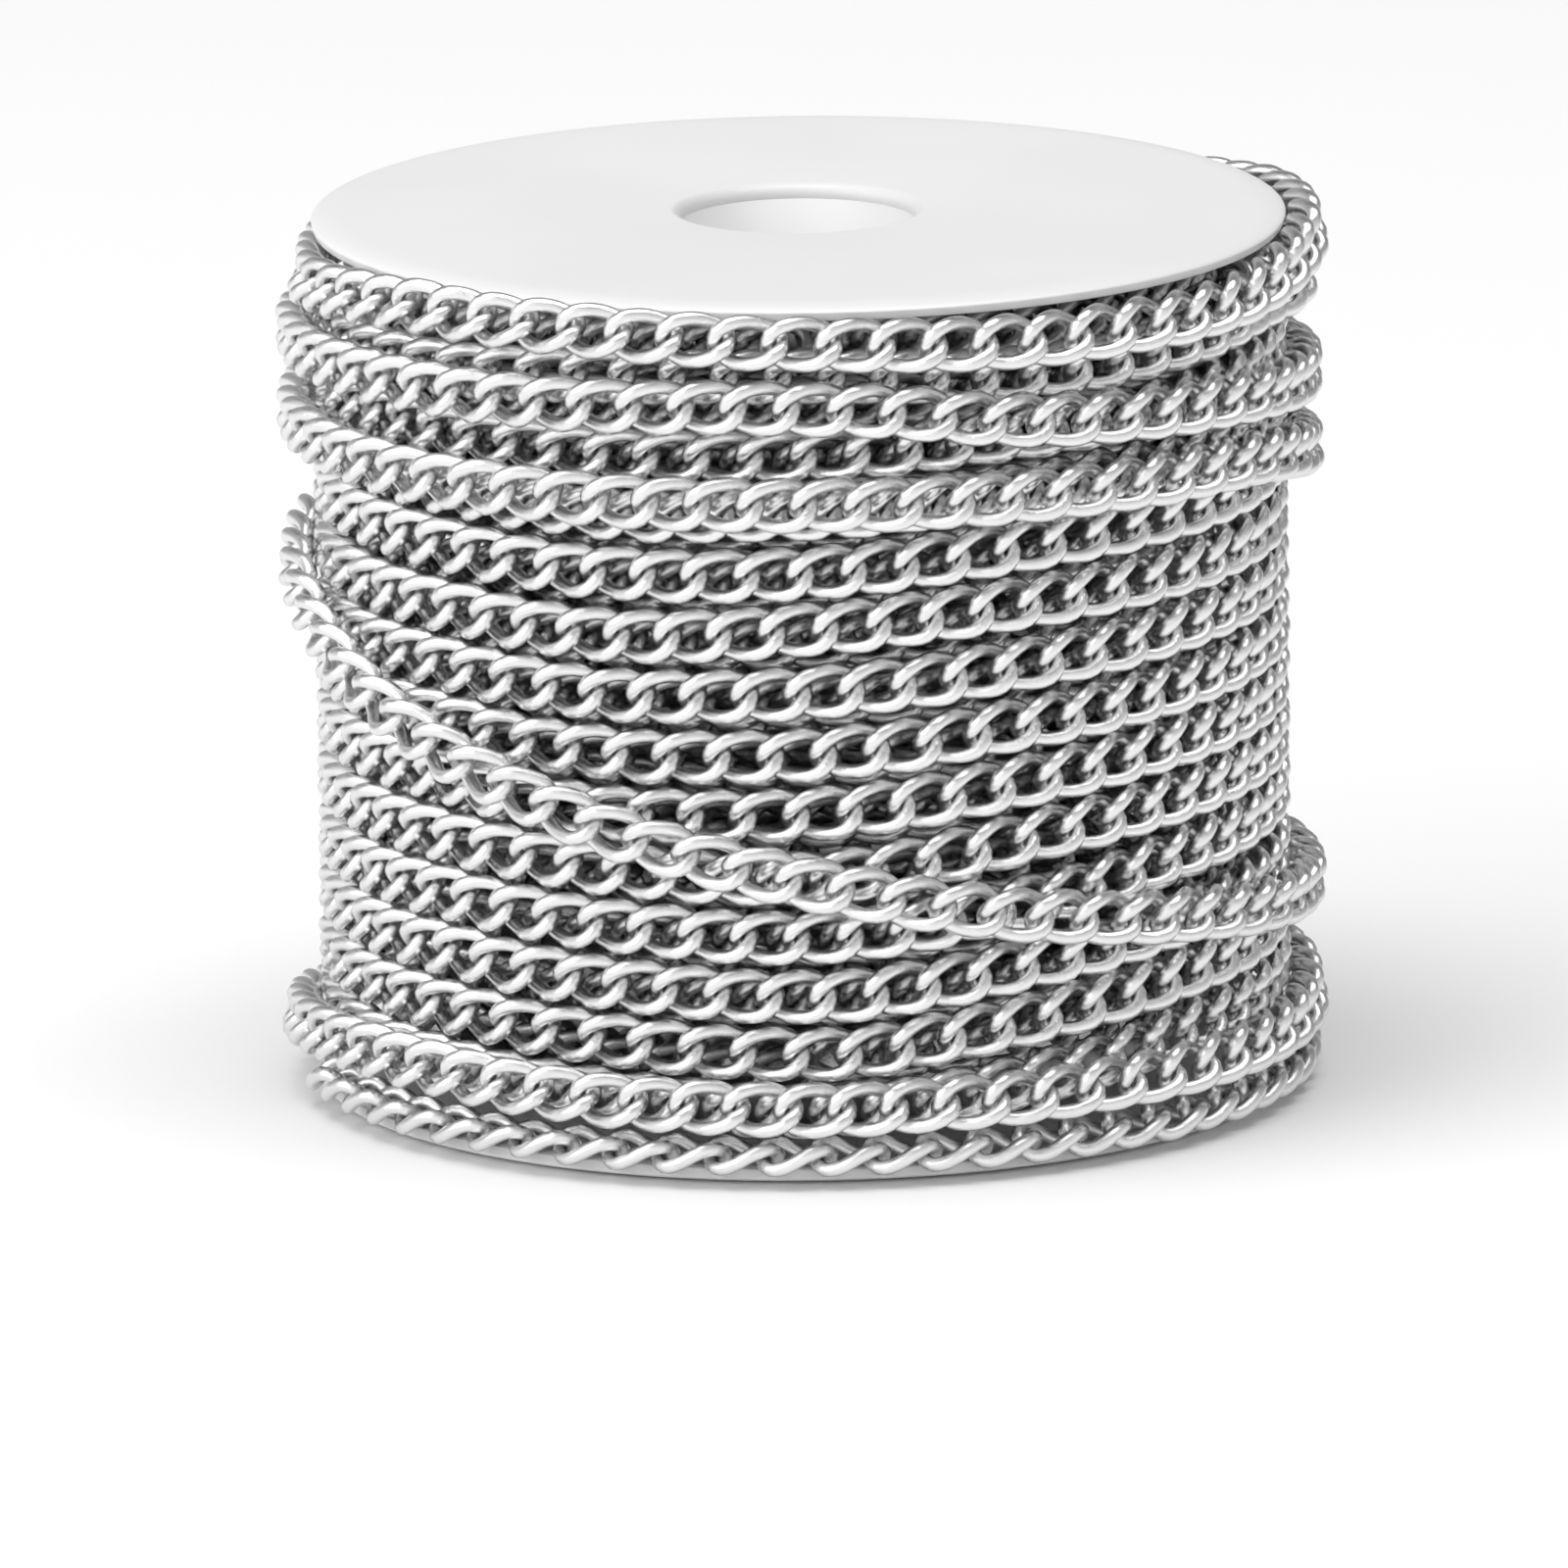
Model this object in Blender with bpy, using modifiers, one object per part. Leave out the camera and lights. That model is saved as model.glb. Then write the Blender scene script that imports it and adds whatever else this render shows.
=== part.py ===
"""A plastic spool wound with twisted curb chain, whose last dozen links are free to swing.

Metres, +Z up along the spool's axis. The origin is on that axis, in the plane that the spool stands on.
Azimuth runs anticlockwise seen from above: 0 is the front (-Y), 90 is +X and 180 is the back.
"""

import math

import bpy
from mathutils import Matrix, Vector

MM = 0.001

# The spool
SPOOL_HEIGHT = 63.4 * MM
FLANGE_RADIUS = 34.8 * MM
FLANGE_THICKNESS = 1.1 * MM
SHOULDER_WIDTH = 2.6 * MM  # the outer face curves down over this width
SHOULDER_DROP = 0.5 * MM  # by this much
BORE_RADIUS = 8.4 * MM
LIP_RADIUS = 0.8 * MM  # rounding where the bore meets the outer face
HUB_TUBE_RADIUS = 9.9 * MM
BARREL_RADIUS = 17.0 * MM
BARREL_WALL = 1.6 * MM
SPIGOT_WALL = 1.3 * MM  # a flange's collar, which sits inside the barrel
SPIGOT_HEIGHT = 5.0 * MM
CLEARANCE = 0.3 * MM
TURNED_STEPS = 64

# The chain: each link is an oval of round wire, twisted so that the strand lies flat
WIRE = 1.05 * MM
PITCH = 3.75 * MM
STRAND_WIDTH = 4.05 * MM
PLAY = 0.12 * MM  # slack between one link's end and the next one's
LINK_TWIST = 400.0  # height per metre of x and metre of y, so 1/m
LINK_SQUARENESS = 1.9  # exponent of the oval: 2 is an ellipse
LINK_STEPS = 18
HALF_LENGTH = (PITCH + WIRE + PLAY) / 2  # of the wire's centre line
HALF_WIDTH = (STRAND_WIDTH - WIRE) / 2

# The winding: layers by the radius of the strand's centre line
OUTER_LAYER = 36.2 * MM
MAIN_LAYER = 33.7 * MM
SECOND_LAYER = 31.25 * MM
RIM_LAYER = 35.1 * MM  # the lowest turn, which lies over the lower flange's rim
LAYER_HALF = 1.05 * MM  # half of a turn's thickness
RIM_TURN_HALF = 0.85 * MM  # the rim turn lies flat on the lower flange
TURN_HALF_WIDTH = 1.85 * MM
TURN_STEPS = 32
TURN_FLAT = 0.55  # share of a turn's width that is flat
TURN_GAP = 0.6 * MM  # between one turn's end and the next one's start, along the strand

# Azimuths, in degrees, at which the heights below are given
LEFT, FRONT, RIGHT = -54, 0, 58

# Heights in mm of the main layer's turns at the left, the front and the right, upwards
MAIN_AZIMUTHS = (-54, -25, 0, 30, 58)
MAIN_TURNS = (
    (6.2, 5.7, 5.1, 6.5, 7.9),
    (10.3, 9.8, 9.2, 10.9, 12.0),
    (14.5, 13.9, 13.4, 14.9, 16.0),
    (18.6, 18.1, 17.7, 19.4, 20.8),
    (22.8, 22.2, 22.0, 24.1, 24.9),
    (27.1, 26.3, 26.6, 28.2, 28.9),
    (31.3, 30.5, 30.9, 32.3, 32.9),
    (35.3, 34.8, 35.4, 36.6, 37.2),
    (39.5, 39.1, 39.9, 41.0, 41.3),
    (44.0, 43.6, 44.0, 45.1, 45.4),
    (48.1, 47.9, 48.3, 49.1, 49.4),
    (52.2, 52.1, 52.5, 53.2, 53.5),
    (56.6, 57.7, 58.2, 57.4, 57.6),
)
CHAIN_START = -84
FIRST_MAIN_TURN = 2  # after the rim turn and the low outer turn

# The tail: real links, each on its own hinge, laid on the winding at the back
TAIL_LINKS = 12
TAIL_HEIGHT = 14.2 * MM
TAIL_AZIMUTH = 98.0  # of the first hinge
WRAP_ANGLE = 2 * math.degrees(math.asin(PITCH / (2 * OUTER_LAYER)))  # from each link to the next


def new_collection(name):
    collection = bpy.data.collections.new(name)
    bpy.context.scene.collection.children.link(collection)
    return collection


def new_material(name, color, roughness, metallic):
    material = bpy.data.materials.new(name)
    material.use_nodes = True
    shader = material.node_tree.nodes["Principled BSDF"]
    shader.inputs["Base Color"].default_value = (*color, 1.0)
    shader.inputs["Roughness"].default_value = roughness
    shader.inputs["Metallic"].default_value = metallic
    return material


def add_object(name, data, collection, material=None):
    obj = bpy.data.objects.new(name, data)
    collection.objects.link(obj)
    if material:
        data.materials.append(material)
    return obj


def turned(name, profile, collection, material):
    """A ring turned from a closed profile of (radius, height), listed down its outer side and up its inner one."""
    mesh = bpy.data.meshes.new(name)
    corners = [(radius, 0.0, height) for radius, height in profile]
    edges = [(i, (i + 1) % len(corners)) for i in range(len(corners))]
    mesh.from_pydata(corners, edges, [])
    obj = add_object(name, mesh, collection, material)
    screw = obj.modifiers.new("turn", "SCREW")
    screw.axis = "Z"
    screw.steps = TURNED_STEPS
    screw.render_steps = TURNED_STEPS
    screw.use_merge_vertices = True
    screw.merge_threshold = 0.00001
    screw.use_smooth_shade = True
    return obj


def arc(centre, radii, start, end, steps):
    """Points on a quarter of an ellipse in the profile's plane, from one angle to another in degrees."""
    angles = [math.radians(start + (end - start) * i / steps) for i in range(steps + 1)]
    return [(centre[0] + radii[0] * math.cos(a), centre[1] + radii[1] * math.sin(a)) for a in angles]


def flange_profile():
    """The upper flange seen with its outer face at height 0 and its collar hanging below."""
    shoulder = (SHOULDER_WIDTH, SHOULDER_DROP)
    spigot_outer = BARREL_RADIUS - BARREL_WALL - CLEARANCE
    inner_face = -FLANGE_THICKNESS
    profile = arc((FLANGE_RADIUS - SHOULDER_WIDTH, -SHOULDER_DROP), shoulder, 90, 0, 4)
    profile += [
        (FLANGE_RADIUS - 0.2 * MM, inner_face),
        (spigot_outer, inner_face),
        (spigot_outer, inner_face - SPIGOT_HEIGHT),
        (spigot_outer - SPIGOT_WALL, inner_face - SPIGOT_HEIGHT),
        (spigot_outer - SPIGOT_WALL, inner_face),
        (BORE_RADIUS, inner_face),
    ]
    lip = arc((BORE_RADIUS + LIP_RADIUS, -LIP_RADIUS), (LIP_RADIUS, LIP_RADIUS), 180, 90, 3)
    return profile + lip


def make_flanges(collection, plastic):
    outline = flange_profile()
    upper = [(radius, SPOOL_HEIGHT + height) for radius, height in outline]
    lower = [(radius, -height) for radius, height in reversed(outline)]
    turned("upper_flange", upper, collection, plastic)
    turned("lower_flange", lower, collection, plastic)


def tube_profile(inner, outer, low, high):
    return [(outer, high), (outer, low), (inner, low), (inner, high)]


def make_core(collection, plastic):
    """The two tubes that join the flanges: the barrel under the chain and the hub tube round the bore."""
    low = FLANGE_THICKNESS + CLEARANCE
    high = SPOOL_HEIGHT - low
    turned("barrel", tube_profile(BARREL_RADIUS - BARREL_WALL, BARREL_RADIUS, low, high), collection, plastic)
    turned("hub_tube", tube_profile(BORE_RADIUS, HUB_TUBE_RADIUS, low, high), collection, plastic)


def make_inner_layers(collection, steel):
    """The layers under the main one, as rings. The lowest corner is wound narrower, so the flange shows there."""
    low = FLANGE_THICKNESS + CLEARANCE
    high = SPOOL_HEIGHT - low
    inner = BARREL_RADIUS + CLEARANCE
    outer = SECOND_LAYER - LAYER_HALF - CLEARANCE
    narrow = inner + 6 * MM
    taper_end = low + 3 * MM
    body = [(outer, high), (outer, taper_end), (narrow, low), (inner, low), (inner, high)]
    turned("inner_layers", body, collection, steel)
    second = tube_profile(SECOND_LAYER - LAYER_HALF, SECOND_LAYER + LAYER_HALF, 6.4 * MM, high)
    turned("second_layer", second, collection, steel)


def route_points():
    """(total azimuth, height, radius, tilt): the route of the wound chain, from the lower rim to its free end."""
    points = []

    def add(turn, azimuth, height_mm, radius, tilt=0.0):
        points.append((360 * turn + azimuth, height_mm * MM, radius, math.radians(tilt)))

    # Turn 0 lies flat on the lower flange, out over its rim
    add(0, CHAIN_START, 2.2, RIM_LAYER, -88)
    add(0, FRONT, 2.2, RIM_LAYER, -88)
    add(0, RIGHT, 2.2, RIM_LAYER, -74)
    add(0, 215, 2.5, RIM_LAYER + 0.3 * MM, -50)
    add(0, 240, 3.0, OUTER_LAYER, -14)
    add(0, 262, 4.6, OUTER_LAYER + 0.1 * MM, -8)
    # Turn 1 is the low outer turn
    add(1, LEFT, 6.4, OUTER_LAYER + 0.1 * MM, -18)
    add(1, FRONT, 5.8, OUTER_LAYER + 0.1 * MM, -18)
    add(1, RIGHT, 5.8, OUTER_LAYER + 0.1 * MM, -18)
    add(1, 90, 6.1, OUTER_LAYER, -10)
    add(1, 140, 6.6, OUTER_LAYER)
    add(1, 215, 7.0, OUTER_LAYER)
    add(1, 240, 7.0, OUTER_LAYER - 0.8 * MM)
    add(1, 262, 6.3, MAIN_LAYER)
    add(FIRST_MAIN_TURN, 90, 8.4, MAIN_LAYER)
    add(FIRST_MAIN_TURN, 140, 9.2, MAIN_LAYER)
    add(FIRST_MAIN_TURN, 200, 9.8, MAIN_LAYER)
    add(FIRST_MAIN_TURN, 262, 10.3, MAIN_LAYER)
    for i, heights in enumerate(MAIN_TURNS):
        for azimuth, height in zip(MAIN_AZIMUTHS, heights):
            add(FIRST_MAIN_TURN + i, azimuth, height, MAIN_LAYER)
    top = FIRST_MAIN_TURN + len(MAIN_TURNS)
    # The last main turn comes out from under the upper flange and winds back down outside
    add(top - 2, 180, 55.3, MAIN_LAYER)
    add(top - 2, 230, 56.0, MAIN_LAYER)
    add(top - 1, 74, 57.8, MAIN_LAYER)
    add(top - 1, 94, 57.9, OUTER_LAYER - 0.2 * MM)
    add(top - 1, 104, 58.0, OUTER_LAYER - 0.2 * MM)
    add(top - 1, 124, 58.5, MAIN_LAYER)
    add(top - 1, 180, 59.4, MAIN_LAYER)
    add(top - 1, 230, 60.1, MAIN_LAYER + 0.2 * MM)
    add(top, -90, 60.1, MAIN_LAYER + 1.0 * MM, -6)
    add(top, -74, 60.3, OUTER_LAYER - 0.2 * MM, -24)
    add(top, -60, 61.0, OUTER_LAYER, -30)
    add(top, -46, 61.5, OUTER_LAYER, -28)
    add(top, -23, 61.4, OUTER_LAYER, -20)
    add(top, FRONT, 61.0, OUTER_LAYER, -12)
    add(top, 30, 60.3, OUTER_LAYER, -12)
    add(top, RIGHT, 60.2, OUTER_LAYER, -12)
    add(top, 78, 61.4, OUTER_LAYER + 0.2 * MM, -14)
    add(top, 92, 61.9, OUTER_LAYER + 0.2 * MM, -14)
    add(top, 106, 61.7, OUTER_LAYER + 0.2 * MM, -12)
    add(top, 125, 60.6, OUTER_LAYER)
    add(top, 205, 55.2, OUTER_LAYER)
    add(top, 250, 55.1, OUTER_LAYER)
    add(top + 1, LEFT, 55.6, OUTER_LAYER)
    add(top + 1, -25, 56.1, OUTER_LAYER)
    add(top + 1, FRONT, 56.4, OUTER_LAYER)
    add(top + 1, 30, 54.4, OUTER_LAYER)
    add(top + 1, RIGHT, 53.2, OUTER_LAYER)
    add(top + 1, 90, 51.6, OUTER_LAYER)
    add(top + 1, 150, 50.2, OUTER_LAYER)
    add(top + 2, LEFT, 49.3, OUTER_LAYER)
    add(top + 2, FRONT, 49.4, OUTER_LAYER)
    add(top + 2, RIGHT, 48.6, OUTER_LAYER)
    add(top + 2, 90, 45.9, OUTER_LAYER)
    # The crossing turn runs down over the others to the free end
    crossing = top + 3
    add(crossing, -90, 38.2, OUTER_LAYER)
    add(crossing, -48, 30.2, OUTER_LAYER)
    add(crossing, -23, 25.6, OUTER_LAYER)
    add(crossing, 0, 22.2, OUTER_LAYER)
    add(crossing, 30, 18.5, OUTER_LAYER)
    add(crossing, 58, 16.1, OUTER_LAYER)
    add(crossing, 82, 14.6, OUTER_LAYER)
    add(crossing, TAIL_AZIMUTH, 14.2, OUTER_LAYER)
    return sorted(points)


def slopes(xs, ys):
    """Slopes of a monotone cubic through the points, so that a turn never overshoots its neighbours."""
    steps = [b - a for a, b in zip(xs, xs[1:])]
    grades = [(b - a) / step for a, b, step in zip(ys, ys[1:], steps)]
    found = [grades[0]]
    for before, after, grade_before, grade_after in zip(steps, steps[1:], grades, grades[1:]):
        if grade_before * grade_after <= 0:
            found.append(0.0)
            continue
        first, second = 2 * after + before, after + 2 * before
        found.append((first + second) / (first / grade_before + second / grade_after))
    return [*found, grades[-1]]


class Route:
    """The strand's centre line as a smooth function of the total azimuth."""

    def __init__(self, points):
        columns = list(zip(*points))
        self.azimuths = columns[0]
        self.curves = [(values, slopes(self.azimuths, values)) for values in columns[1:]]

    def at(self, azimuth):
        """(height, radius, tilt) at a total azimuth in degrees."""
        xs = self.azimuths
        i = max(j for j in range(len(xs) - 1) if xs[j] <= azimuth or j == 0)
        step = xs[i + 1] - xs[i]
        t = (azimuth - xs[i]) / step
        found = []
        for ys, grades in self.curves:
            start = (1 + 2 * t) * (1 - t) ** 2 * ys[i] + t * (1 - t) ** 2 * step * grades[i]
            end = t * t * (3 - 2 * t) * ys[i + 1] + t * t * (t - 1) * step * grades[i + 1]
            found.append(start + end)
        return found

    def point(self, azimuth):
        height, radius, tilt = self.at(azimuth)
        angle = math.radians(azimuth)
        return Vector((radius * math.sin(angle), -radius * math.cos(angle), height)), tilt


def make_section(name, half, guides):
    """The flattened outline that a turn is swept with: X through the strand's thickness, Y across it."""
    curve = bpy.data.curves.new(name, "CURVE")
    curve.dimensions = "2D"
    spline = curve.splines.new("POLY")
    width, flat = TURN_HALF_WIDTH, TURN_FLAT * TURN_HALF_WIDTH
    corners = [(half, flat), (half, -flat), (0, -width), (-half, -flat), (-half, flat), (0, width)]
    spline.points.add(len(corners) - 1)
    for point, (x, y) in zip(spline.points, corners):
        point.co = (x, y, 0, 1)
    spline.use_cyclic_u = True
    obj = add_object(name, curve, guides)
    obj.hide_render = True
    obj.display_type = "WIRE"
    return obj


def make_turn(name, route, start, end, section, collection, steel):
    """One turn of the strand, as the solid of its outer shape from one total azimuth to another."""
    curve = bpy.data.curves.new(name, "CURVE")
    curve.dimensions = "3D"
    curve.twist_mode = "Z_UP"
    curve.bevel_mode = "OBJECT"
    curve.bevel_object = section
    curve.use_fill_caps = True
    count = max(4, round(TURN_STEPS * (end - start) / 360))
    spline = curve.splines.new("POLY")
    spline.points.add(count)
    for i, point in enumerate(spline.points):
        place, tilt = route.point(start + (end - start) * i / count)
        point.co = (*place, 1)
        point.tilt = tilt
    return add_object(name, curve, collection, steel)


def make_turns(collection, guides, steel):
    route = Route(route_points())
    rim_section = make_section("rim_section", RIM_TURN_HALF, guides)
    section = make_section("turn_section", LAYER_HALF, guides)
    gap = math.degrees(TURN_GAP / 2 / MAIN_LAYER)
    crossing = FIRST_MAIN_TURN + len(MAIN_TURNS) + 3
    for turn in range(crossing + 1):
        start = 360 * turn - 180 + gap if turn else CHAIN_START
        end = 360 * turn + 180 - gap
        if turn == crossing:
            # The strand's last wound link is the one before the first hinge, and the tail's first link reaches back
            reach = HALF_LENGTH + WIRE / 2 - PITCH / 2 + TURN_GAP
            end = 360 * turn + TAIL_AZIMUTH - math.degrees(reach / OUTER_LAYER)
        name = "crossing_turn" if turn == crossing else f"wound_turn_{turn + 1:02d}"
        make_turn(name, route, start, end, section if turn else rim_section, collection, steel)


def link_curve():
    """A link's twisted oval, with the origin at its hinge, half a pitch before its middle."""
    curve = bpy.data.curves.new("link", "CURVE")
    curve.dimensions = "3D"
    curve.bevel_depth = WIRE / 2
    curve.bevel_resolution = 1
    spline = curve.splines.new("POLY")
    spline.points.add(LINK_STEPS - 1)
    for i, point in enumerate(spline.points):
        angle = 2 * math.pi * i / LINK_STEPS
        along, across = math.cos(angle), math.sin(angle)
        x = HALF_LENGTH * math.copysign(abs(along) ** (2 / LINK_SQUARENESS), along)
        y = HALF_WIDTH * math.copysign(abs(across) ** (2 / LINK_SQUARENESS), across)
        point.co = (x + PITCH / 2, y, -LINK_TWIST * x * y, 1)
    spline.use_cyclic_u = True
    return curve


def make_tail(collection, steel):
    """The free links. Each hangs on the one before: X along the strand, Y up and Z away from the winding."""
    angle = math.radians(TAIL_AZIMUTH)
    outward = Vector((math.sin(angle), -math.cos(angle), 0))
    up = Vector((0, 0, 1))
    along = up.cross(outward)
    parent = bpy.data.objects.new("chain_end", None)
    collection.objects.link(parent)
    turn_to_strand = Matrix((along, up, outward)).transposed().to_4x4()
    half_wrap = Matrix.Rotation(math.radians(WRAP_ANGLE / 2), 4, "Y")
    place = Matrix.Translation(outward * OUTER_LAYER + up * TAIL_HEIGHT)
    parent.matrix_world = place @ turn_to_strand @ half_wrap
    shape = link_curve()
    shape.materials.append(steel)
    for i in range(TAIL_LINKS):
        link = bpy.data.objects.new(f"link_{i + 1:02d}", shape)
        collection.objects.link(link)
        link.parent = parent
        if i:
            link.location = (PITCH, 0, 0)
            link.rotation_euler = (0, math.radians(WRAP_ANGLE), 0)
        parent = link


def main():
    for obj in list(bpy.data.objects):
        bpy.data.objects.remove(obj)
    parts = new_collection("chain_spool")
    guides = new_collection("guides")
    plastic = new_material("white_plastic", (0.86, 0.86, 0.85), 0.35, 0.0)
    steel = new_material("polished_steel", (0.74, 0.74, 0.75), 0.12, 1.0)
    make_flanges(parts, plastic)
    make_core(parts, plastic)
    make_inner_layers(parts, steel)
    make_turns(parts, guides, steel)
    make_tail(parts, steel)


main()
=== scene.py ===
"""The look of a white plastic spool wound with polished curb chain.

Metres, +Z up the spool's axis, origin on the axis at the base. Azimuth is in degrees and runs
anticlockwise seen from above: 0 is the front (-Y), 90 is +X and 180 is the back.
"""

import math

import bpy
import numpy as np
from mathutils import Matrix, Vector


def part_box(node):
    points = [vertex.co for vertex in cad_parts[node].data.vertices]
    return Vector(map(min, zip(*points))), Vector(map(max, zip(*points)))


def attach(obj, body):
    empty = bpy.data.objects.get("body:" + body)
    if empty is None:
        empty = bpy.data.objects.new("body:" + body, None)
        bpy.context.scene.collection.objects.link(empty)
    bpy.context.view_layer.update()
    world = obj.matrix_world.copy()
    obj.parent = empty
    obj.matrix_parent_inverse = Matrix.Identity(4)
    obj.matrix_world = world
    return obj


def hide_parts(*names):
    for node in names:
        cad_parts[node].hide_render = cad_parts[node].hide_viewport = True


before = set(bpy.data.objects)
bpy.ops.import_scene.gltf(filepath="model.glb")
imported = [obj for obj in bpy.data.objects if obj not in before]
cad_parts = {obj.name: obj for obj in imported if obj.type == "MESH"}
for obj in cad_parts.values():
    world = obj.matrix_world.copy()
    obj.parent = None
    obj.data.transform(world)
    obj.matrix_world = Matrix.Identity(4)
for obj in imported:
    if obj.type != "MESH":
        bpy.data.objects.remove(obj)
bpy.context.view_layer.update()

MM = 0.001

# The spool, as in the CAD model
SPOOL_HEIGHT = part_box("upper_flange")[1][2]
FLANGE_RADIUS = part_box("upper_flange")[1][0]
FLANGE_THICKNESS = 1.1 * MM
SHOULDER_WIDTH = 2.6 * MM
SHOULDER_DROP = 0.5 * MM
BORE_RADIUS = 8.4 * MM
LIP_RADIUS = 0.8 * MM
HUB_TUBE_RADIUS = 9.9 * MM
BARREL_RADIUS = 17.0 * MM
BARREL_WALL = 1.6 * MM
SPIGOT_WALL = 1.3 * MM
SPIGOT_HEIGHT = 5.0 * MM
CLEARANCE = 0.3 * MM
FLANGE_DRAFT = 0.2 * MM  # the flange's inner face is this much smaller than its rim
EDGE_RADIUS = 0.15 * MM
LAP = 0.2 * MM
SEAM = 0.01 * MM
TURNED_STEPS = 192

# The chain
WIRE = 1.05 * MM
PITCH = 3.75 * MM
STRAND_WIDTH = 4.05 * MM
PLAY = 0.12 * MM
LINK_TWIST = 400.0  # depth per metre along times metre across
LINK_SQUARENESS = 1.9  # 2 is an ellipse
HALF_LENGTH = (PITCH + WIRE + PLAY) / 2
HALF_WIDTH = (STRAND_WIDTH - WIRE) / 2
LINK_STEPS, LINK_SIDES = 30, 12

# The winding
OUTER_LAYER = 36.2 * MM
MAIN_LAYER = 33.7 * MM
SECOND_LAYER = 31.25 * MM
RIM_LAYER = 35.1 * MM
LAYER_STEP = 2.45 * MM
SECOND_LAYER_FOOT = 6.4 * MM
THIRD_LAYER_FOOT = 4.6 * MM
HIDDEN_TURN_GAP = 0.15 * MM
DRUM_TAPER = 3 * MM
DRUM_FOOT_WIDTH = 6 * MM
LINK_ROLL_SPREAD = 2.2  # degrees
LINK_SHIFT_SPREAD = 0.03 * MM
LEFT, FRONT, RIGHT = -54, 0, 58
MAIN_AZIMUTHS = (-54, -25, 0, 30, 58)
MAIN_TURNS = (
    (6.2, 5.7, 5.1, 6.5, 7.9),
    (10.3, 9.8, 9.2, 10.9, 12.0),
    (14.5, 13.9, 13.4, 14.9, 16.0),
    (18.6, 18.1, 17.7, 19.4, 20.8),
    (22.8, 22.2, 22.0, 24.1, 24.9),
    (27.1, 26.3, 26.6, 28.2, 28.9),
    (31.3, 30.5, 30.9, 32.3, 32.9),
    (35.3, 34.8, 35.4, 36.6, 37.2),
    (39.5, 39.1, 39.9, 41.0, 41.3),
    (44.0, 43.6, 44.0, 45.1, 45.4),
    (48.1, 47.9, 48.3, 49.1, 49.4),
    (52.2, 52.1, 52.5, 53.2, 53.5),
    (56.6, 57.7, 58.2, 57.4, 57.6),
)
CHAIN_START = -84
FIRST_MAIN_TURN = 2
CROSSING_TURN = FIRST_MAIN_TURN + len(MAIN_TURNS) + 3
TAIL_LINKS = 12
TAIL_HEIGHT = 14.2 * MM
TAIL_AZIMUTH = 98.0
WRAP_ANGLE = 2 * math.asin(PITCH / (2 * OUTER_LAYER))

rng = np.random.default_rng(7)


# ---------------------------------------------------------------- materials


def new_material(name):
    material = bpy.data.materials.new(name)
    material.use_nodes = True
    nodes = material.node_tree.nodes
    return material, nodes, material.node_tree.links, nodes["Principled BSDF"]


def ramp(nodes, links, source, low, high):
    """A 0-1 value turned into one from low to high."""
    node = nodes.new("ShaderNodeMapRange")
    node.inputs["To Min"].default_value = low
    node.inputs["To Max"].default_value = high
    links.new(source, node.inputs["Value"])
    return node.outputs["Result"]


def blend(nodes, links, factor, dark, bright):
    """A colour from dark to bright by a 0-1 factor."""
    node = nodes.new("ShaderNodeMix")
    node.data_type = "RGBA"
    node.inputs["A"].default_value = (*dark, 1)
    node.inputs["B"].default_value = (*bright, 1)
    links.new(factor, node.inputs["Factor"])
    return node.outputs["Result"]


def vector_math(nodes, links, operation, source):
    node = nodes.new("ShaderNodeVectorMath")
    node.operation = operation
    links.new(source, node.inputs[0])
    return node


def bump_up(nodes, links, height, strength, distance, shader):
    bump = nodes.new("ShaderNodeBump")
    bump.inputs["Strength"].default_value = strength
    bump.inputs["Distance"].default_value = distance
    links.new(height, bump.inputs["Height"])
    links.new(bump.outputs["Normal"], shader.inputs["Normal"])


def fade(nodes, links, source, span, values):
    """A soft step between two values over a span of the source."""
    node = nodes.new("ShaderNodeMapRange")
    node.interpolation_type = "SMOOTHSTEP"
    node.inputs["From Min"].default_value, node.inputs["From Max"].default_value = span
    node.inputs["To Min"].default_value, node.inputs["To Max"].default_value = values
    links.new(source, node.inputs["Value"])
    return node.outputs["Result"]


def noise(nodes, links, coords, scale, detail=3.0, roughness=0.5):
    node = nodes.new("ShaderNodeTexNoise")
    node.inputs["Scale"].default_value = scale
    node.inputs["Detail"].default_value = detail
    node.inputs["Roughness"].default_value = roughness
    links.new(coords, node.inputs["Vector"])
    return node.outputs["Fac"]


def steel_material(name, dark, bright):
    """Polished wire: drawing lines along it, small dents, soft cloudy gloss."""
    material, nodes, links, shader = new_material(name)
    shader.inputs["Metallic"].default_value = 1.0
    place = nodes.new("ShaderNodeTexCoord").outputs["Object"]
    cloud = noise(nodes, links, place, 900.0)
    tint = blend(nodes, links, cloud, (dark, dark, 1.005 * dark), [bright] * 3)
    links.new(tint, shader.inputs["Base Color"])
    links.new(ramp(nodes, links, cloud, 0.10, 0.28), shader.inputs["Roughness"])
    drawn = nodes.new("ShaderNodeUVMap")
    drawn.uv_map = "wire"
    stretch = nodes.new("ShaderNodeMapping")
    stretch.inputs["Scale"].default_value = (1.5, 40.0, 1.0)
    links.new(drawn.outputs["UV"], stretch.inputs["Vector"])
    lines = noise(nodes, links, stretch.outputs["Vector"], 3.0, 4.0, 0.6)
    dents = nodes.new("ShaderNodeMath")
    links.new(lines, dents.inputs[0])
    links.new(noise(nodes, links, place, 2600.0, 4.0, 0.65), dents.inputs[1])
    bump_up(nodes, links, dents.outputs["Value"], 0.5, 0.03 * MM, shader)
    return material


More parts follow.
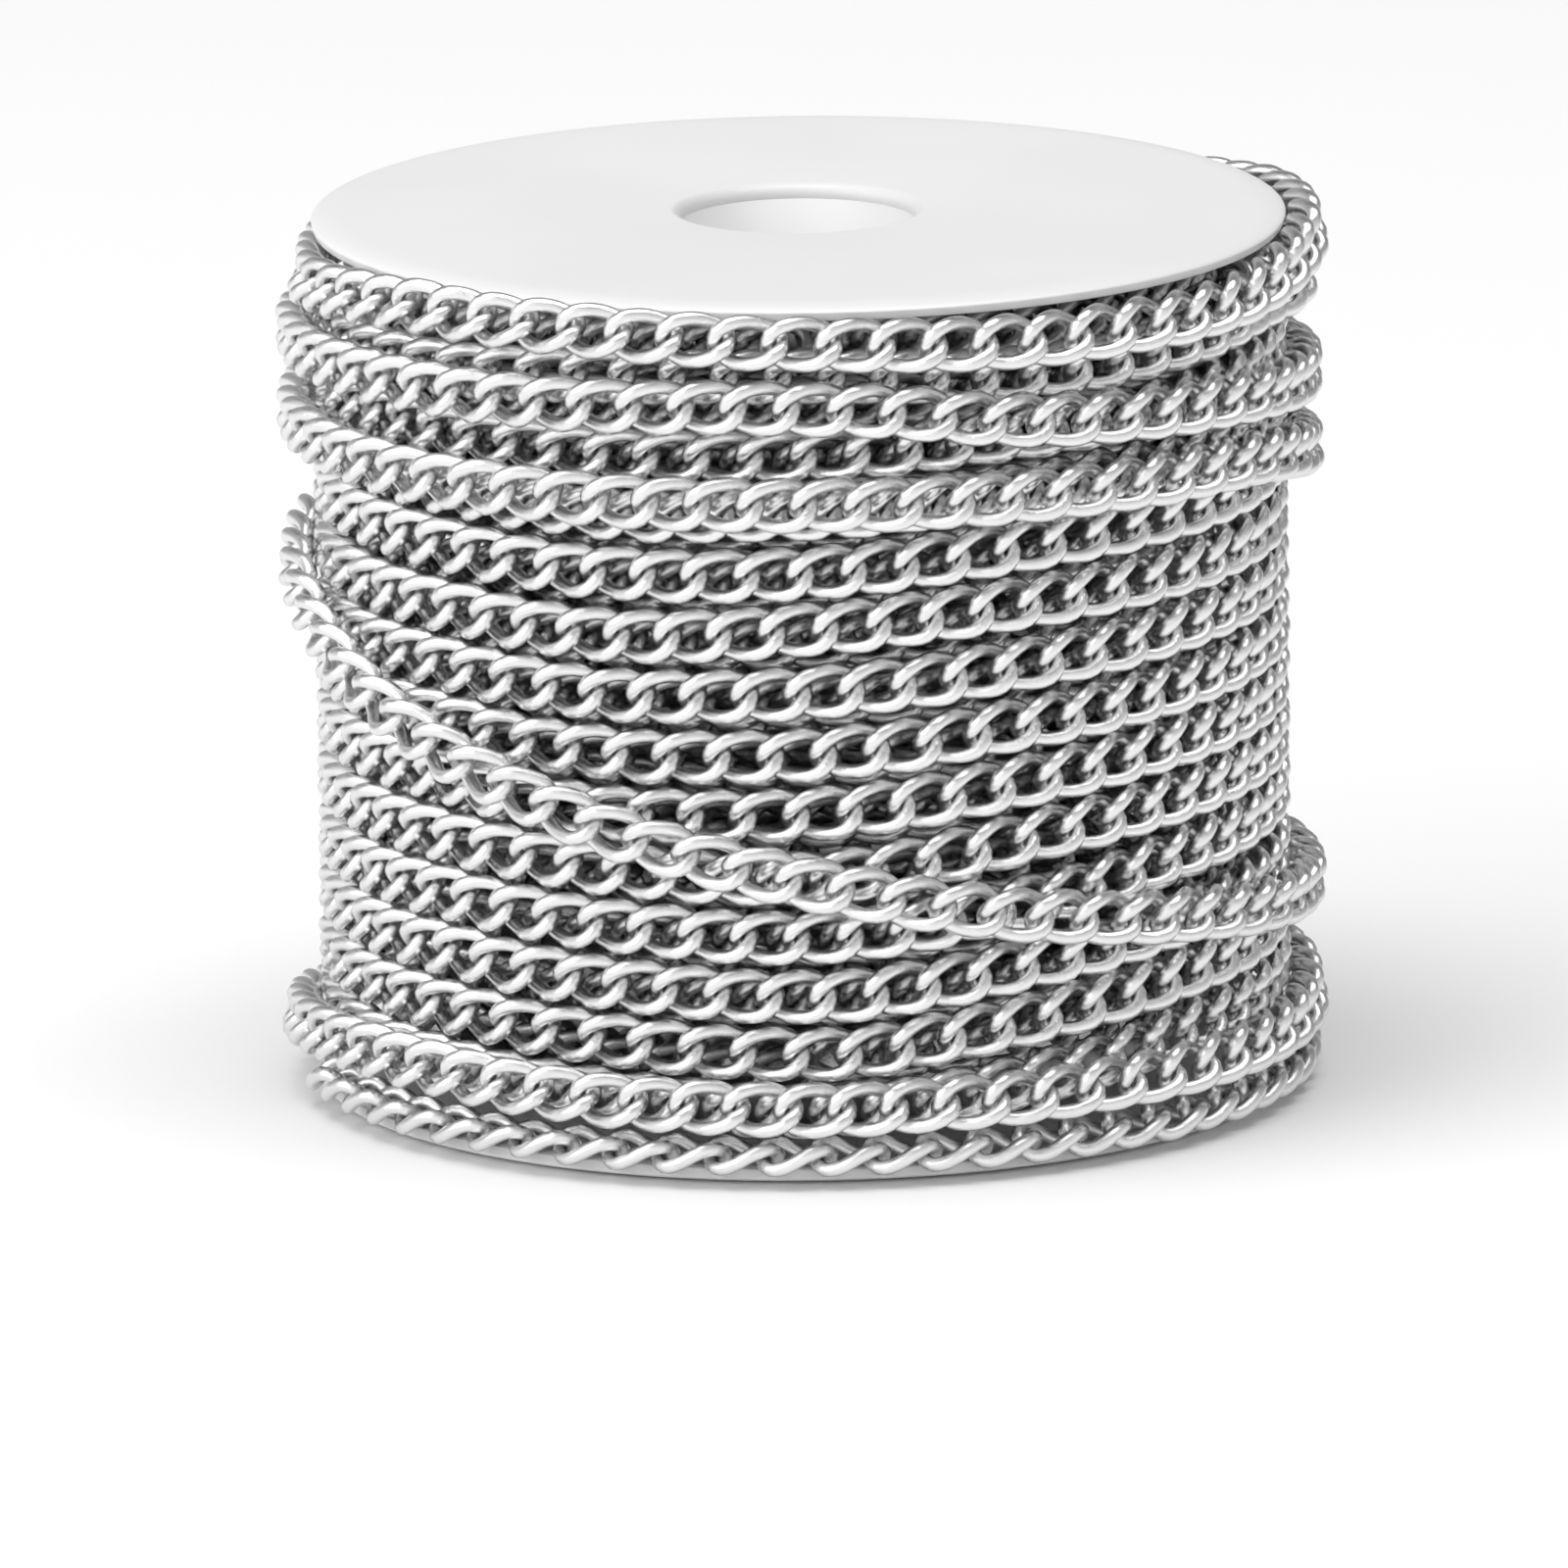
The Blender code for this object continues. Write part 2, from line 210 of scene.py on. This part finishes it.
def plastic_material():
    """White moulded plastic: soft gloss, faint waviness and fine grain, and painted shade in the bore.
    """
    material, nodes, links, shader = new_material("white_plastic")
    shader.inputs["IOR"].default_value = 1.49
    place = nodes.new("ShaderNodeTexCoord").outputs["Object"]
    cloud = noise(nodes, links, place, 60.0)
    # Painted shade: the plastic is a little darker in the bore, where less light reaches
    flat = vector_math(nodes, links, "MULTIPLY", place)
    flat.inputs[1].default_value = (1, 1, 0)
    radius = vector_math(nodes, links, "LENGTH", flat.outputs["Vector"]).outputs["Value"]
    bore_shade = vector_math(nodes, links, "SCALE", blend(nodes, links, cloud, [0.75] * 3, [0.79] * 3))
    span = (BORE_RADIUS + 0.3 * MM, BORE_RADIUS + LIP_RADIUS)
    links.new(fade(nodes, links, radius, span, (0.90, 1.0)), bore_shade.inputs["Scale"])
    links.new(bore_shade.outputs["Vector"], shader.inputs["Base Color"])
    links.new(ramp(nodes, links, cloud, 0.34, 0.46), shader.inputs["Roughness"])
    bump_up(nodes, links, noise(nodes, links, place, 2500.0, 2.0), 0.08, 0.03 * MM, shader)
    return material


STEEL = steel_material("polished_steel", 0.72, 0.86)
# Painted shade: the same steel made darker for the layers and drum deep in the winding, where little
# light reaches
SHADED_STEEL = steel_material("shaded_steel", 0.46, 0.58)
PLASTIC = plastic_material()


# ---------------------------------------------------------------- meshes


def add_object(name, verts, faces, material, uvs=None):
    mesh = bpy.data.meshes.new(name)
    mesh.vertices.add(len(verts))
    mesh.vertices.foreach_set("co", np.asarray(verts, np.float32).ravel())
    faces = np.asarray(faces, np.int32)
    mesh.loops.add(faces.size)
    mesh.loops.foreach_set("vertex_index", faces.ravel())
    mesh.polygons.add(len(faces))
    mesh.polygons.foreach_set("loop_start", np.arange(len(faces), dtype=np.int32) * faces.shape[1])
    mesh.polygons.foreach_set("use_smooth", np.ones(len(faces), bool))
    if uvs is not None:
        layer = mesh.uv_layers.new(name="wire")
        layer.uv.foreach_set("vector", np.asarray(uvs, np.float32).ravel())
    mesh.update(calc_edges=True)
    mesh.materials.append(material)
    obj = bpy.data.objects.new(name, mesh)
    bpy.context.scene.collection.objects.link(obj)
    return obj


def grid_faces(rows, columns):
    """Quads of a grid that closes on itself both ways, as (row, column) corners."""
    i, j = np.meshgrid(np.arange(rows), np.arange(columns), indexing="ij")
    after_i, after_j = (i + 1) % rows, (j + 1) % columns
    corners = [(i, j), (after_i, j), (after_i, after_j), (i, after_j)]
    return np.stack([a * columns + b for a, b in corners], -1).reshape(-1, 4)


def link_mesh(steps, sides):
    """A link's vertices, faces and UVs. X runs along the strand, Y across it and Z outwards."""
    angle = 2 * np.pi * np.arange(steps) / steps
    power = 2 / LINK_SQUARENESS

    def path(angle):
        x = HALF_LENGTH * np.copysign(np.abs(np.cos(angle)) ** power, np.cos(angle))
        y = HALF_WIDTH * np.copysign(np.abs(np.sin(angle)) ** power, np.sin(angle))
        return np.stack([x, y, -LINK_TWIST * x * y], -1)

    # Even steps along the wire, so that the round ends are as smooth as the sides
    fine = path(np.linspace(0, 2 * np.pi, 2001))
    along = np.concatenate([[0], np.cumsum(np.linalg.norm(np.diff(fine, axis=0), axis=1))])
    wanted = along[-1] * np.arange(steps) / steps
    centre = np.stack([np.interp(wanted, along, fine[:, k]) for k in range(3)], -1)
    tangent = np.roll(centre, -1, 0) - np.roll(centre, 1, 0)
    tangent /= np.linalg.norm(tangent, axis=1)[:, None]
    outward = centre * (1, 1, 0)
    outward -= (outward * tangent).sum(1)[:, None] * tangent
    outward /= np.linalg.norm(outward, axis=1)[:, None]
    up = np.cross(tangent, outward)
    turn = 2 * np.pi * np.arange(sides) / sides
    ring = outward[:, None] * np.cos(turn)[None, :, None] + up[:, None] * np.sin(turn)[None, :, None]
    verts = (centre[:, None] + WIRE / 2 * ring).reshape(-1, 3)
    faces = grid_faces(steps, sides)[:, ::-1]
    u, v = faces // sides, faces % sides
    u = np.where((u == 0) & (faces.max(1)[:, None] // sides == steps - 1), steps, u) / steps
    v = np.where((v == 0) & ((faces % sides).max(1)[:, None] == sides - 1), sides, v) / sides
    return verts, faces, np.stack([u, v], -1).reshape(-1, 2)


def chain_object(name, shape, frames, material=STEEL):
    """One mesh of a link at each frame: (middle, along, across, outward)."""
    verts, faces, uvs = shape
    frames = np.asarray(frames)
    middle, axes = frames[:, 0], frames[:, 1:]
    placed = np.einsum("vk,nkc->nvc", verts, axes) + middle[:, None]
    count = len(frames)
    all_faces = (faces[None] + len(verts) * np.arange(count)[:, None, None]).reshape(-1, 4)
    shifts = rng.uniform(0, 50, (count, 1, 2))
    all_uvs = (uvs[None] + shifts).reshape(-1, 2)
    return add_object(name, placed.reshape(-1, 3), all_faces, material, all_uvs)


def turned(name, profile, material):
    """A ring turned from a closed profile of (radius, height)."""
    profile = np.asarray(profile)
    angle = 2 * np.pi * np.arange(TURNED_STEPS) / TURNED_STEPS
    verts = np.stack(
        [
            profile[None, :, 0] * np.cos(angle)[:, None],
            profile[None, :, 0] * np.sin(angle)[:, None],
            np.broadcast_to(profile[None, :, 1], (TURNED_STEPS, len(profile))),
        ],
        -1,
    ).reshape(-1, 3)
    obj = add_object(name, verts, grid_faces(TURNED_STEPS, len(profile)), material)
    if signed_volume(obj.data) < 0:
        obj.data.flip_normals()
    return obj


def signed_volume(mesh):
    """Six times the mesh's volume, negative where its faces point in."""
    mesh.calc_loop_triangles()
    corners = np.zeros(len(mesh.vertices) * 3, np.float32)
    mesh.vertices.foreach_get("co", corners)
    index = np.zeros(len(mesh.loop_triangles) * 3, np.int32)
    mesh.loop_triangles.foreach_get("vertices", index)
    triangles = corners.reshape(-1, 3)[index.reshape(-1, 3)].astype(float)
    return float(np.linalg.det(triangles).sum())


def arc(centre, radii, start, end, steps):
    angles = [math.radians(start + (end - start) * i / steps) for i in range(steps + 1)]
    return [(centre[0] + radii[0] * math.cos(a), centre[1] + radii[1] * math.sin(a)) for a in angles]


def rounded(profile, radius, steps=3):
    """The profile with its corners, but not the blunt ones, rounded so that edges catch light."""
    result = []
    count = len(profile)
    for i, corner in enumerate(profile):
        corner = np.array(corner)
        before, after = np.array(profile[i - 1]), np.array(profile[(i + 1) % count])
        to_before, to_after = before - corner, after - corner
        len_before, len_after = np.linalg.norm(to_before), np.linalg.norm(to_after)
        cosine = (to_before @ to_after) / (len_before * len_after)
        if cosine < -0.8:
            result.append(tuple(corner))
            continue
        cut = min(radius, 0.4 * len_before, 0.4 * len_after)
        a, b = corner + to_before * cut / len_before, corner + to_after * cut / len_after
        for k in range(steps + 1):
            t = k / steps
            result.append(tuple((1 - t) ** 2 * a + 2 * t * (1 - t) * corner + t * t * b))
    return result


def ride_as(piece, node, body="wound_spool"):
    """The piece stands for a CAD node and moves with its body."""
    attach(piece, body)
    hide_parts(node)


# ---------------------------------------------------------------- spool


def flange_profile():
    """(radius, height) from the flange's outer face, with its collar inwards of the inner face."""
    shoulder = (SHOULDER_WIDTH, SHOULDER_DROP)
    spigot_outer = BARREL_RADIUS - BARREL_WALL - CLEARANCE
    inner_face = -FLANGE_THICKNESS
    profile = arc((FLANGE_RADIUS - SHOULDER_WIDTH, -SHOULDER_DROP), shoulder, 90, 0, 12)
    rest = [
        (FLANGE_RADIUS - FLANGE_DRAFT, inner_face),
        (spigot_outer, inner_face),
        (spigot_outer, inner_face - SPIGOT_HEIGHT),
        (spigot_outer - SPIGOT_WALL, inner_face - SPIGOT_HEIGHT),
        (spigot_outer - SPIGOT_WALL, inner_face),
        (BORE_RADIUS, inner_face),
    ]
    lip = arc((BORE_RADIUS + LIP_RADIUS, -LIP_RADIUS), (LIP_RADIUS, LIP_RADIUS), 180, 90, 8)
    return rounded(profile + rest + lip, EDGE_RADIUS)


def make_spool():
    outline = flange_profile()
    pieces = {
        "upper_flange": [(r, SPOOL_HEIGHT + h) for r, h in outline],
        "lower_flange": [(r, -h) for r, h in reversed(outline)],
    }
    low = FLANGE_THICKNESS + CLEARANCE
    high = SPOOL_HEIGHT - low
    barrel = [(BARREL_RADIUS, high), (BARREL_RADIUS, low)]
    pieces["barrel"] = rounded(barrel + [(r - BARREL_WALL, h) for r, h in reversed(barrel)], EDGE_RADIUS)
    # The tube's ends reach just past the flanges' inner faces, so that the bore has no open seam
    low, inner = FLANGE_THICKNESS - LAP, BORE_RADIUS + SEAM
    high = SPOOL_HEIGHT - low
    pieces["hub_tube"] = [(HUB_TUBE_RADIUS, high), (HUB_TUBE_RADIUS, low), (inner, low), (inner, high)]
    for node, profile in pieces.items():
        ride_as(turned(node + "_shell", profile, PLASTIC), node)


# ---------------------------------------------------------------- winding


def route_points():
    """The wound chain from the lower rim to its free end, as (total azimuth, height, radius, tilt)."""
    points = []

    def add(turn, azimuth, height_mm, radius, tilt=0.0):
        points.append((360 * turn + azimuth, height_mm * MM, radius, math.radians(tilt)))

    add(0, CHAIN_START, 2.2, RIM_LAYER, -88)
    add(0, FRONT, 2.2, RIM_LAYER, -88)
    add(0, RIGHT, 2.2, RIM_LAYER, -74)
    add(0, 215, 2.5, RIM_LAYER + 0.3 * MM, -50)
    add(0, 240, 3.0, OUTER_LAYER, -14)
    add(0, 262, 4.6, OUTER_LAYER + 0.1 * MM, -8)
    add(1, LEFT, 6.4, OUTER_LAYER + 0.1 * MM, -18)
    add(1, FRONT, 5.8, OUTER_LAYER + 0.1 * MM, -18)
    add(1, RIGHT, 5.8, OUTER_LAYER + 0.1 * MM, -18)
    add(1, 90, 6.1, OUTER_LAYER, -10)
    add(1, 140, 6.6, OUTER_LAYER)
    add(1, 215, 7.0, OUTER_LAYER)
    add(1, 240, 7.0, OUTER_LAYER - 0.8 * MM)
    add(1, 262, 6.3, MAIN_LAYER)
    add(FIRST_MAIN_TURN, 90, 8.4, MAIN_LAYER)
    add(FIRST_MAIN_TURN, 140, 9.2, MAIN_LAYER)
    add(FIRST_MAIN_TURN, 200, 9.8, MAIN_LAYER)
    add(FIRST_MAIN_TURN, 262, 10.3, MAIN_LAYER)
    for i, heights in enumerate(MAIN_TURNS):
        for azimuth, height in zip(MAIN_AZIMUTHS, heights):
            add(FIRST_MAIN_TURN + i, azimuth, height, MAIN_LAYER)
    top = FIRST_MAIN_TURN + len(MAIN_TURNS)
    add(top - 2, 180, 55.3, MAIN_LAYER)
    add(top - 2, 230, 56.0, MAIN_LAYER)
    add(top - 1, 74, 57.8, MAIN_LAYER)
    add(top - 1, 94, 57.9, OUTER_LAYER - 0.2 * MM)
    add(top - 1, 104, 58.0, OUTER_LAYER - 0.2 * MM)
    add(top - 1, 124, 58.5, MAIN_LAYER)
    add(top - 1, 180, 59.4, MAIN_LAYER)
    add(top - 1, 230, 60.1, MAIN_LAYER + 0.2 * MM)
    add(top, -90, 60.1, MAIN_LAYER + 1.0 * MM, -6)
    add(top, -74, 60.3, OUTER_LAYER - 0.2 * MM, -24)
    add(top, -60, 61.0, OUTER_LAYER, -30)
    add(top, -46, 61.5, OUTER_LAYER, -28)
    add(top, -23, 61.4, OUTER_LAYER, -20)
    add(top, FRONT, 61.0, OUTER_LAYER, -12)
    add(top, 30, 60.3, OUTER_LAYER, -12)
    add(top, RIGHT, 60.2, OUTER_LAYER, -12)
    add(top, 78, 61.4, OUTER_LAYER + 0.2 * MM, -14)
    add(top, 92, 61.9, OUTER_LAYER + 0.2 * MM, -14)
    add(top, 106, 61.7, OUTER_LAYER + 0.2 * MM, -12)
    add(top, 125, 60.6, OUTER_LAYER)
    add(top, 205, 55.2, OUTER_LAYER)
    add(top, 250, 55.1, OUTER_LAYER)
    add(top + 1, LEFT, 55.6, OUTER_LAYER)
    add(top + 1, -25, 56.1, OUTER_LAYER)
    add(top + 1, FRONT, 56.4, OUTER_LAYER)
    add(top + 1, 30, 54.4, OUTER_LAYER)
    add(top + 1, RIGHT, 53.2, OUTER_LAYER)
    add(top + 1, 90, 51.6, OUTER_LAYER)
    add(top + 1, 150, 50.2, OUTER_LAYER)
    add(top + 2, LEFT, 49.3, OUTER_LAYER)
    add(top + 2, FRONT, 49.4, OUTER_LAYER)
    add(top + 2, RIGHT, 48.6, OUTER_LAYER)
    add(top + 2, 90, 45.9, OUTER_LAYER)
    add(CROSSING_TURN, -90, 38.2, OUTER_LAYER)
    add(CROSSING_TURN, -48, 30.2, OUTER_LAYER)
    add(CROSSING_TURN, -23, 25.6, OUTER_LAYER)
    add(CROSSING_TURN, 0, 22.2, OUTER_LAYER)
    add(CROSSING_TURN, 30, 18.5, OUTER_LAYER)
    add(CROSSING_TURN, 58, 16.1, OUTER_LAYER)
    add(CROSSING_TURN, 82, 14.6, OUTER_LAYER)
    add(CROSSING_TURN, TAIL_AZIMUTH, 14.2, OUTER_LAYER)
    return sorted(points)


def slopes(xs, ys):
    """Slopes of a monotone cubic through the points, so that a turn never overshoots its neighbours."""
    steps = [b - a for a, b in zip(xs, xs[1:])]
    grades = [(b - a) / step for a, b, step in zip(ys, ys[1:], steps)]
    found = [grades[0]]
    for before, after, grade_before, grade_after in zip(steps, steps[1:], grades, grades[1:]):
        if grade_before * grade_after <= 0:
            found.append(0.0)
            continue
        first, second = 2 * after + before, after + 2 * before
        found.append((first + second) / (first / grade_before + second / grade_after))
    return [*found, grades[-1]]


class Route:
    """The strand's centre line as a smooth function of the total azimuth in degrees."""

    def __init__(self, points):
        columns = [np.array(column) for column in zip(*points)]
        self.azimuths = columns[0]
        self.curves = [(values, np.array(slopes(self.azimuths, values))) for values in columns[1:]]

    def at(self, azimuth):
        """Height, radius and tilt at an array of total azimuths."""
        xs = self.azimuths
        i = np.clip(np.searchsorted(xs, azimuth, side="right") - 1, 0, len(xs) - 2)
        step = xs[i + 1] - xs[i]
        t = (azimuth - xs[i]) / step
        found = []
        for ys, grades in self.curves:
            start = (1 + 2 * t) * (1 - t) ** 2 * ys[i] + t * (1 - t) ** 2 * step * grades[i]
            end = t * t * (3 - 2 * t) * ys[i + 1] + t * t * (t - 1) * step * grades[i + 1]
            found.append(start + end)
        return found

    def point(self, azimuth):
        height, radius, _ = self.at(azimuth)
        angle = np.radians(azimuth)
        return np.stack([radius * np.sin(angle), -radius * np.cos(angle), height], -1)


def hinge_azimuths(route, first, last):
    """Total azimuths of the links' meeting points, one pitch apart, counted back from last."""
    fine = np.append(np.arange(first, last, 0.05), last)
    places = route.point(fine)
    along = np.concatenate([[0], np.cumsum(np.linalg.norm(np.diff(places, axis=0), axis=1))])
    # A chord of one pitch spans a little more of the curve than a pitch
    chord = OUTER_LAYER * WRAP_ANGLE
    count = int(along[-1] / chord)
    wanted = along[-1] - chord * np.arange(count + 1)[::-1]
    return np.interp(wanted, along, fine)


def frames_between(route, hinges):
    """The links between the hinges: their azimuths, and their middles and axes, a little uneven."""
    places = route.point(hinges)
    middle = (places[1:] + places[:-1]) / 2
    along = places[1:] - places[:-1]
    along /= np.linalg.norm(along, axis=1)[:, None]
    azimuth = (hinges[1:] + hinges[:-1]) / 2
    tilt = route.at(azimuth)[2]
    angle = np.radians(azimuth)
    radial = np.stack([np.sin(angle), -np.cos(angle), np.zeros_like(angle)], -1)
    outward = radial - (radial * along).sum(1)[:, None] * along
    outward /= np.linalg.norm(outward, axis=1)[:, None]
    across = np.cross(outward, along)
    roll = -tilt + np.radians(rng.normal(0, LINK_ROLL_SPREAD, len(azimuth)))
    out = outward * np.cos(roll)[:, None] + across * np.sin(roll)[:, None]
    up = -outward * np.sin(roll)[:, None] + across * np.cos(roll)[:, None]
    middle = middle + up * rng.normal(0, LINK_SHIFT_SPREAD, len(azimuth))[:, None]
    return azimuth, np.stack([middle, along, up, out], 1)


def make_winding():
    route = Route(route_points())
    shape = link_mesh(LINK_STEPS, LINK_SIDES)
    hinges = hinge_azimuths(route, CHAIN_START, 360 * CROSSING_TURN + TAIL_AZIMUTH)
    azimuth, frames = frames_between(route, hinges)
    turn_of = np.floor((azimuth + 180) / 360).astype(int)
    for turn in range(CROSSING_TURN + 1):
        node = "crossing_turn" if turn == CROSSING_TURN else f"wound_turn_{turn + 1:02d}"
        ride_as(chain_object(node + "_links", shape, frames[turn_of == turn]), node)


def make_hidden_layers():
    """The layers that show only through the gaps: two of real links, and a plain drum under them."""
    low = FLANGE_THICKNESS + CLEARANCE
    top = SPOOL_HEIGHT - low
    high = top - STRAND_WIDTH / 2
    third = SECOND_LAYER - LAYER_STEP
    drum_radius = third - LAYER_STEP / 2
    inner = BARREL_RADIUS + CLEARANCE
    profile = [
        (drum_radius, top),
        (drum_radius, low + DRUM_TAPER),
        (inner + DRUM_FOOT_WIDTH, low),
        (inner, low),
        (inner, top),
    ]
    drum = turned("inner_layers_drum", rounded(profile, 0.2 * MM), SHADED_STEEL)
    ride_as(drum, "inner_layers")
    for name, node, radius, foot, shape, climb in (
        ("second_layer_links", "second_layer", SECOND_LAYER, SECOND_LAYER_FOOT, link_mesh(18, 8), 1),
        ("third_layer_links", "inner_layers", third, THIRD_LAYER_FOOT, link_mesh(14, 6), -1),
    ):
        first = foot + STRAND_WIDTH / 2
        turns = round((high - first) / (STRAND_WIDTH + HIDDEN_TURN_GAP))
        heights = [first + (high - first) * t / turns for t in range(turns + 1)][::climb]
        route = Route([(360 * t, height, radius, 0.0) for t, height in enumerate(heights)])
        _, frames = frames_between(route, hinge_azimuths(route, 0.0, 360.0 * turns))
        ride_as(chain_object(name, shape, frames, SHADED_STEEL), node)


def make_tail():
    shape = link_mesh(LINK_STEPS, LINK_SIDES)
    up = np.array([0, 0, 1.0])
    for i in range(TAIL_LINKS):
        start = math.radians(TAIL_AZIMUTH) + WRAP_ANGLE * i
        angles = np.array([start, start + WRAP_ANGLE])
        places = [OUTER_LAYER * np.sin(angles), -OUTER_LAYER * np.cos(angles), np.full(2, TAIL_HEIGHT)]
        ends = np.stack(places, -1)
        along = (ends[1] - ends[0]) / PITCH
        frames = [[(ends[0] + ends[1]) / 2, along, up, np.cross(along, up)]]
        node = f"link_{i + 1:02d}"
        ride_as(chain_object(node + "_wire", shape, frames), node, body=node)


make_spool()
make_winding()
make_hidden_layers()
make_tail()
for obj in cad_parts.values():
    obj.data.materials.clear()
    obj.data.materials.append(SHADED_STEEL)


# ---------------------------------------------------------------- stage


def make_stage():
    material, nodes, links, shader = new_material("pale_floor")
    place = nodes.new("ShaderNodeTexCoord").outputs["Object"]
    cloud = noise(nodes, links, place, 8.0, 2.0)
    links.new(blend(nodes, links, cloud, [0.94] * 3, [0.96] * 3), shader.inputs["Base Color"])
    shader.inputs["Roughness"].default_value = 0.7
    half = 3.0
    verts = [(-half, -half, 0), (half, -half, 0), (half, half, 0), (-half, half, 0)]
    floor = add_object("floor", verts, [(0, 1, 2, 3)], material)
    floor.location.z = -0.02 * MM


def add_light(name, azimuth, elevation, distance, size, power):
    """A rectangular lamp that faces the middle of the spool."""
    data = bpy.data.lights.new(name, "AREA")
    data.shape = "RECTANGLE"
    data.size, data.size_y = size
    data.energy = power
    light = bpy.data.objects.new(name, data)
    a, e = math.radians(azimuth), math.radians(elevation)
    direction = Vector((math.sin(a) * math.cos(e), -math.cos(a) * math.cos(e), math.sin(e)))
    light.location = Vector((0, 0, 30 * MM)) + direction * distance
    light.rotation_euler = direction.to_track_quat("Z", "Y").to_euler()
    bpy.context.scene.collection.objects.link(light)


def make_lights():
    world = bpy.data.worlds.new("studio")
    bpy.context.scene.world = world
    world.use_nodes = True
    background = world.node_tree.nodes["Background"]
    nodes, links = world.node_tree.nodes, world.node_tree.links
    split = nodes.new("ShaderNodeSeparateXYZ")
    links.new(nodes.new("ShaderNodeTexCoord").outputs["Generated"], split.inputs["Vector"])
    # Bright low down in front and at the left, dimmer overhead, behind and at the right
    strength = None
    for axis, span, values in (
        ("X", (0.1, 0.9), (0.95, 0.70)),
        ("Y", (-0.3, 0.7), (1.0, 0.45)),
        ("Z", (0.35, 0.85), (1.0, 0.42)),
    ):
        part = fade(nodes, links, split.outputs[axis], span, values)
        if strength:
            product = nodes.new("ShaderNodeMath")
            product.operation = "MULTIPLY"
            links.new(strength, product.inputs[0])
            links.new(part, product.inputs[1])
            part = product.outputs["Value"]
        strength = part
    links.new(strength, background.inputs["Strength"])
    background.inputs["Color"].default_value = (1, 1, 1, 1)
    add_light("key", -58, 28, 1.2, (1.2, 0.9), 5.5)
    add_light("top", 0, 86, 1.5, (1.6, 1.0), 17.0)


def make_camera():
    elevation, distance, roll = math.radians(12.715), 2.0, math.radians(0.6)
    target = Vector((-1.44 * MM, 0, 21.24 * MM))
    back = Vector((0, -math.cos(elevation), math.sin(elevation)))
    right = Vector((1, 0, 0))
    up = back.cross(right)
    data = bpy.data.cameras.new("camera")
    data.lens = 640.3
    data.sensor_width = 36
    data.clip_start = 0.01
    data.clip_end = 20
    camera = bpy.data.objects.new("camera", data)
    rolled_right = right * math.cos(roll) - up * math.sin(roll)
    rolled_up = up * math.cos(roll) + right * math.sin(roll)
    turn = Matrix((rolled_right, rolled_up, back)).transposed().to_4x4()
    camera.matrix_world = Matrix.Translation(target + back * distance) @ turn
    bpy.context.scene.collection.objects.link(camera)
    bpy.context.scene.camera = camera
    bpy.context.scene.view_settings.view_transform = "Standard"


make_stage()
make_lights()
make_camera()
